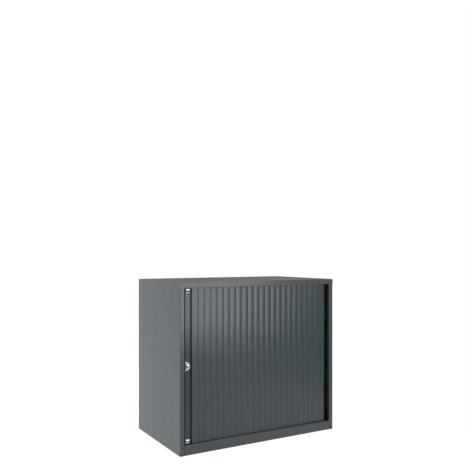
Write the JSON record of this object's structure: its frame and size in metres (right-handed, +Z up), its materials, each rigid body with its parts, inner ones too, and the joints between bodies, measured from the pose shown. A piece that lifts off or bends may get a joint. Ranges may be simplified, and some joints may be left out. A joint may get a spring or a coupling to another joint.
{
  "type": "roll front cabinet",
  "caption": "Low anthracite sheet steel cabinet with a side-opening roll front of upright slats, a lock in its leading stile, an adjustable shelf and levelling feet.",
  "frame": {"origin": "on the floor, under the middle of the cabinet's footprint", "axes": "+X to the right along the width, +Y to the back, +Z up; the front faces -Y"},
  "size_m": [0.8, 0.47, 0.716],
  "materials": {
    "carcass_paint": "anthracite powder coat, fine texture",
    "stile_paint": "anthracite powder coat, satin",
    "slat_plastic": "anthracite, satin",
    "zinc_plate": "bright zinc plate",
    "chrome_plate": "polished",
    "track_plastic": "black, smooth",
    "buffer_rubber": "matt"
  },
  "bodies": {
    "cabinet": {"left_side_panel": "carcass_paint", "right_side_panel": "carcass_paint", "top_panel": "carcass_paint", "bottom_rail": "carcass_paint", "base_panel": "carcass_paint", "back_panel": "carcass_paint", "inner_side_panel": "carcass_paint", "inner_back_panel": "carcass_paint", "floor_panel": "carcass_paint", "left_front_strip": "carcass_paint", "left_rear_strip": "carcass_paint", "right_front_strip": "carcass_paint", "right_rear_strip": "carcass_paint", "tambour_slat_02": "slat_plastic", "tambour_slat_03": "slat_plastic", "tambour_slat_04": "slat_plastic", "tambour_slat_05": "slat_plastic", "tambour_slat_06": "slat_plastic", "tambour_slat_07": "slat_plastic", "tambour_slat_08": "slat_plastic", "tambour_slat_09": "slat_plastic", "tambour_slat_10": "slat_plastic", "tambour_slat_11": "slat_plastic", "tambour_slat_12": "slat_plastic", "tambour_slat_13": "slat_plastic", "tambour_slat_14": "slat_plastic", "tambour_slat_15": "slat_plastic", "tambour_slat_16": "slat_plastic", "tambour_slat_17": "slat_plastic", "tambour_slat_18": "slat_plastic", "tambour_slat_19": "slat_plastic", "tambour_slat_20": "slat_plastic", "tambour_slat_21": "slat_plastic", "tambour_slat_22": "slat_plastic", "tambour_slat_23": "slat_plastic", "tambour_slat_24": "slat_plastic", "tambour_slat_25": "slat_plastic", "keeper_plate": "zinc_plate", "foot_nuts": "zinc_plate", "shelf_clips": "zinc_plate", "bottom_track": "track_plastic", "top_track": "track_plastic", "closing_buffers": "buffer_rubber", "track_stops": "buffer_rubber"},
    "door": {"door_stile": "stile_paint", "lower_end_cap": "chrome_plate", "upper_end_cap": "chrome_plate", "lower_glide": "track_plastic", "upper_glide": "track_plastic", "lock_rosette": "chrome_plate", "lock_body": "zinc_plate", "lock_nut": "zinc_plate", "tambour_slat_01": "slat_plastic"},
    "lock": {"lock_plug": "chrome_plate", "lock_cam": "zinc_plate"},
    "shelf_board": {"shelf": "carcass_paint"},
    "foot_1": {"levelling_foot_1": "zinc_plate"},
    "foot_2": {"levelling_foot_2": "zinc_plate"},
    "foot_3": {"levelling_foot_3": "zinc_plate"},
    "foot_4": {"levelling_foot_4": "zinc_plate"}
  },
  "joints": [
    {"name": "door_slide", "type": "slide", "parent": "cabinet", "child": "door", "axis": [1, 0, 0], "range_m": [0, 0.655], "deforming": ["tambour_slat_02", "tambour_slat_03", "tambour_slat_04", "tambour_slat_05", "tambour_slat_06", "tambour_slat_07", "tambour_slat_08", "tambour_slat_09", "tambour_slat_10", "tambour_slat_11", "tambour_slat_12", "tambour_slat_13", "tambour_slat_14", "tambour_slat_15", "tambour_slat_16", "tambour_slat_17", "tambour_slat_18", "tambour_slat_19", "tambour_slat_20", "tambour_slat_21", "tambour_slat_22", "tambour_slat_23", "tambour_slat_24", "tambour_slat_25"]},
    {"name": "lock_turn", "type": "hinge", "parent": "door", "child": "lock", "pos_m": [-0.3642, -0.228, 0.3675], "axis": [0, 1, 0], "range_deg": [0, 90]},
    {"name": "shelf_lift", "type": "slide", "parent": "cabinet", "child": "shelf_board", "axis": [0, 0, 1], "range_m": [0, 0.02]},
    {"name": "foot_1_screw", "type": "slide", "parent": "cabinet", "child": "foot_1", "axis": [0, 0, -1], "range_m": [0, 0.012]},
    {"name": "foot_2_screw", "type": "slide", "parent": "cabinet", "child": "foot_2", "axis": [0, 0, -1], "range_m": [0, 0.012]},
    {"name": "foot_3_screw", "type": "slide", "parent": "cabinet", "child": "foot_3", "axis": [0, 0, -1], "range_m": [0, 0.012]},
    {"name": "foot_4_screw", "type": "slide", "parent": "cabinet", "child": "foot_4", "axis": [0, 0, -1], "range_m": [0, 0.012]}
  ]
}
